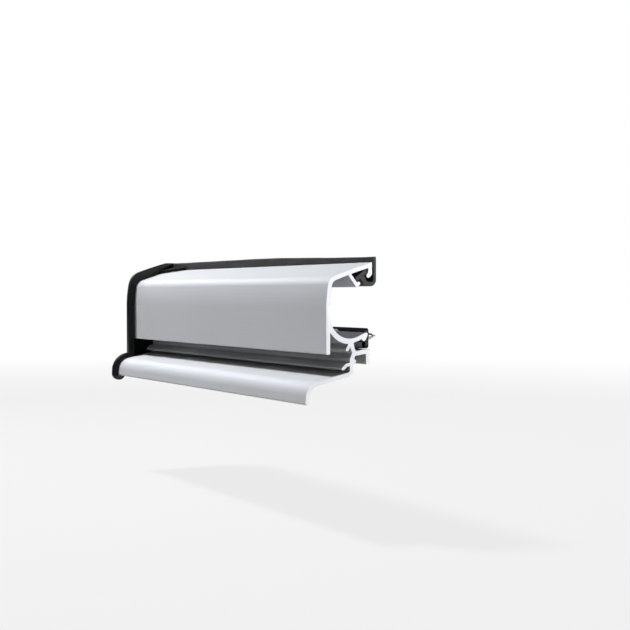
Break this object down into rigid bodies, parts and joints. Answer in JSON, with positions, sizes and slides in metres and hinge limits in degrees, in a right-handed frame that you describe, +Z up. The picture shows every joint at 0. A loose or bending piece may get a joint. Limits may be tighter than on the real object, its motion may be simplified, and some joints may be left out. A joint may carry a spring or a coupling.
{
  "type": "threshold weather strip",
  "caption": "Extruded aluminium weather rail with an inner gutter and a sloping drip nose, clipped on screwed holders, with a rubber top gasket and a black end cap.",
  "frame": {"origin": "on the mounting face, midway between the two holder screws", "axes": "+X along the rail towards its bare cut end, +Y into the surface that it is screwed to, +Z up"},
  "size_m": [0.1632, 0.0418, 0.0505],
  "materials": {
    "satin_aluminium": "satin, clear anodised",
    "black_rubber": "matt",
    "black_plastic": "fine moulded grain",
    "dark_foam": "matt cellular",
    "zinc_steel": "zinc plated"
  },
  "bodies": {
    "fixing": {"clip_holder_left": "black_plastic", "clip_holder_right": "black_plastic", "holder_screw_left": "zinc_steel", "holder_screw_right": "zinc_steel"},
    "rail": {"rain_rail": "satin_aluminium", "top_gasket": "black_rubber"},
    "cap": {"end_cap": "black_plastic", "end_cap_seal": "dark_foam"}
  },
  "joints": [
    {"name": "rail_float", "type": "slide", "parent": "fixing", "child": "rail", "axis": [1, 0, 0], "range_m": [-0.0015, 0.0015]},
    {"name": "end_cap_pull", "type": "slide", "parent": "rail", "child": "cap", "axis": [-1, 0, 0], "range_m": [0, 0.016]}
  ]
}
